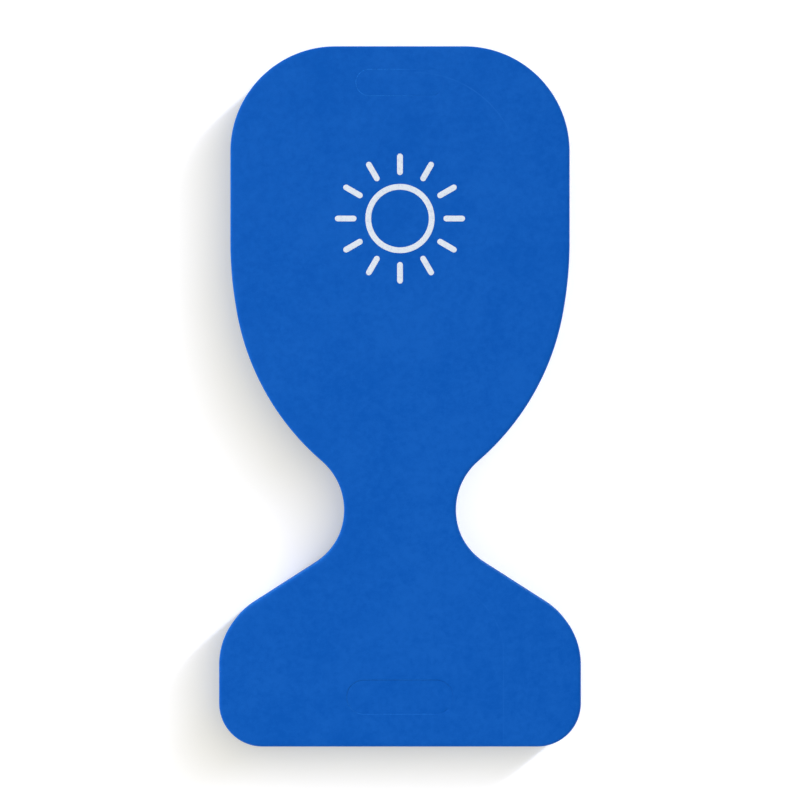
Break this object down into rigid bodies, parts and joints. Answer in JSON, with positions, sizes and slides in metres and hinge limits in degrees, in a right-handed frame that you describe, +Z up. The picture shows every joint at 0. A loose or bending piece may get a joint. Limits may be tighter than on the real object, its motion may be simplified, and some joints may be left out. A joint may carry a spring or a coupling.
{
  "type": "foam saddle float",
  "caption": "Sit-on foam saddle float with a wide head, narrow waist and wide foot; it bends up at the waist, and its hand-hold plugs push out.",
  "frame": {"origin": "centre of the whole board's box, on the underside", "axes": "+X across the board to the right, +Y along it towards the head, +Z up through its thickness, out of the printed face"},
  "size_m": [0.434, 0.84, 0.0402],
  "materials": {
    "foam": "royal blue closed-cell EVA foam, matt, with a fine suede-like skin",
    "ink": "white screen-printed ink, matt"
  },
  "bodies": {
    "seat": {"seat_top_ply": "foam", "seat_core_ply": "foam", "seat_bottom_ply": "foam"},
    "front_panel": {"front_top_ply": "foam", "front_core_ply": "foam", "front_bottom_ply": "foam", "printed_emblem": "ink"},
    "rear_panel": {"rear_top_ply": "foam", "rear_core_ply": "foam", "rear_bottom_ply": "foam"},
    "front_plug": {"front_plug_top_ply": "foam", "front_plug_core_ply": "foam", "front_plug_bottom_ply": "foam"},
    "rear_plug": {"rear_plug_top_ply": "foam", "rear_plug_core_ply": "foam", "rear_plug_bottom_ply": "foam"}
  },
  "joints": [
    {"name": "front_flex", "type": "hinge", "parent": "seat", "child": "front_panel", "pos_m": [0, -0.085, 0.04], "axis": [1, 0, 0], "range_deg": [0, 60], "stiffness_Nm_per_rad": 12},
    {"name": "rear_flex", "type": "hinge", "parent": "seat", "child": "rear_panel", "pos_m": [0, -0.185, 0.04], "axis": [-1, 0, 0], "range_deg": [0, 60], "stiffness_Nm_per_rad": 12},
    {"name": "front_plug_push", "type": "slide", "parent": "front_panel", "child": "front_plug", "axis": [0, 0, 1], "range_m": [0, 0.04]},
    {"name": "rear_plug_push", "type": "slide", "parent": "rear_panel", "child": "rear_plug", "axis": [0, 0, 1], "range_m": [0, 0.04]}
  ]
}
